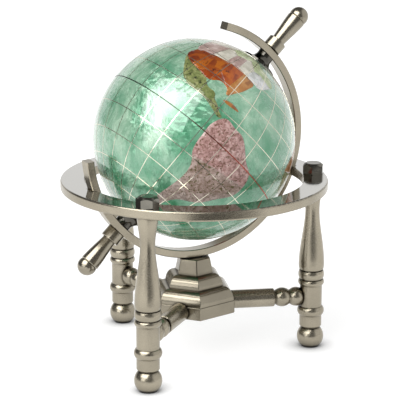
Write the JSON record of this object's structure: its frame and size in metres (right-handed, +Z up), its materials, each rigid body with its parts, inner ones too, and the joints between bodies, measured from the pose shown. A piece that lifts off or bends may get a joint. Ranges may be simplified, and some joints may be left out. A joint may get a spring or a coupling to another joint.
{
  "type": "desktop globe on stand",
  "caption": "Table globe of inlaid stone on a C-shaped meridian arc, in a tripod metal stand with a flat horizon ring, turned legs, stretchers and a stepped hexagonal pedestal.",
  "frame": {"origin": "on the floor, on the vertical centre line of the stand and globe, in the plane of the feet's pads", "axes": "+Z up; +X towards the side that the globe's upper pole leans to, so the meridian arc lies in the XZ plane; -Y towards the front"},
  "size_m": [0.2, 0.2, 0.2594],
  "materials": {
    "satin_nickel": "brushed satin nickel plate",
    "polished_nickel": "polished nickel plate, slightly dark",
    "black_nickel": "polished black nickel plate",
    "plain_steel": "plain turned and threaded steel",
    "bushing_brass": "turned brass",
    "black_felt": "dense felt",
    "pad_rubber": "matte rubber",
    "core_resin": "cast resin core",
    "pearl_green": "polished sea-green mother-of-pearl inlay under clear lacquer",
    "orange_stone": "polished orange stone inlay",
    "rose_stone": "polished rose granite inlay",
    "pale_stone": "polished pale stone inlay",
    "olive_stone": "polished olive speckled stone inlay",
    "grid_wire": "thin flush metal wire"
  },
  "bodies": {
    "stand": {"leg_post_left": "satin_nickel", "leg_spindle_left": "satin_nickel", "ball_foot_left": "satin_nickel", "foot_pad_left": "pad_rubber", "tie_rod_left": "plain_steel", "ring_nut_left": "black_nickel", "stretcher_left": "satin_nickel", "stretcher_stud_left": "plain_steel", "leg_post_right": "satin_nickel", "leg_spindle_right": "satin_nickel", "ball_foot_right": "satin_nickel", "foot_pad_right": "pad_rubber", "tie_rod_right": "plain_steel", "ring_nut_right": "black_nickel", "stretcher_right": "satin_nickel", "stretcher_stud_right": "plain_steel", "leg_post_back": "satin_nickel", "leg_spindle_back": "satin_nickel", "ball_foot_back": "satin_nickel", "foot_pad_back": "pad_rubber", "tie_rod_back": "plain_steel", "ring_nut_back": "black_nickel", "stretcher_back": "satin_nickel", "stretcher_stud_back": "plain_steel", "horizon_ring": "satin_nickel", "pedestal_slab": "satin_nickel", "pedestal_lower_tier": "satin_nickel", "pedestal_upper_tier": "satin_nickel", "pedestal_cap": "satin_nickel", "saddle_pad": "black_felt", "pedestal_bolt": "plain_steel"},
    "meridian": {"meridian_arc": "satin_nickel", "pole_pin_upper": "plain_steel", "pole_cone_upper": "black_nickel", "pole_collar_upper": "polished_nickel", "pole_grip_upper": "polished_nickel", "pole_pin_lower": "plain_steel", "pole_cone_lower": "black_nickel", "pole_collar_lower": "polished_nickel", "pole_grip_lower": "polished_nickel"},
    "globe": {"stone_skin": "pearl_green", "globe_core": "core_resin", "pole_bushing_upper": "bushing_brass", "pole_bushing_lower": "bushing_brass"}
  },
  "joints": [
    {"name": "meridian_tilt", "type": "hinge", "parent": "stand", "child": "meridian", "pos_m": [0, 0, 0.1665], "axis": [0, 1, 0], "range_deg": [-12, 14]},
    {"name": "globe_spin", "type": "hinge", "parent": "meridian", "child": "globe", "pos_m": [0, 0, 0.1665], "axis": [0.7193, 0, 0.6947], "continuous": true}
  ]
}
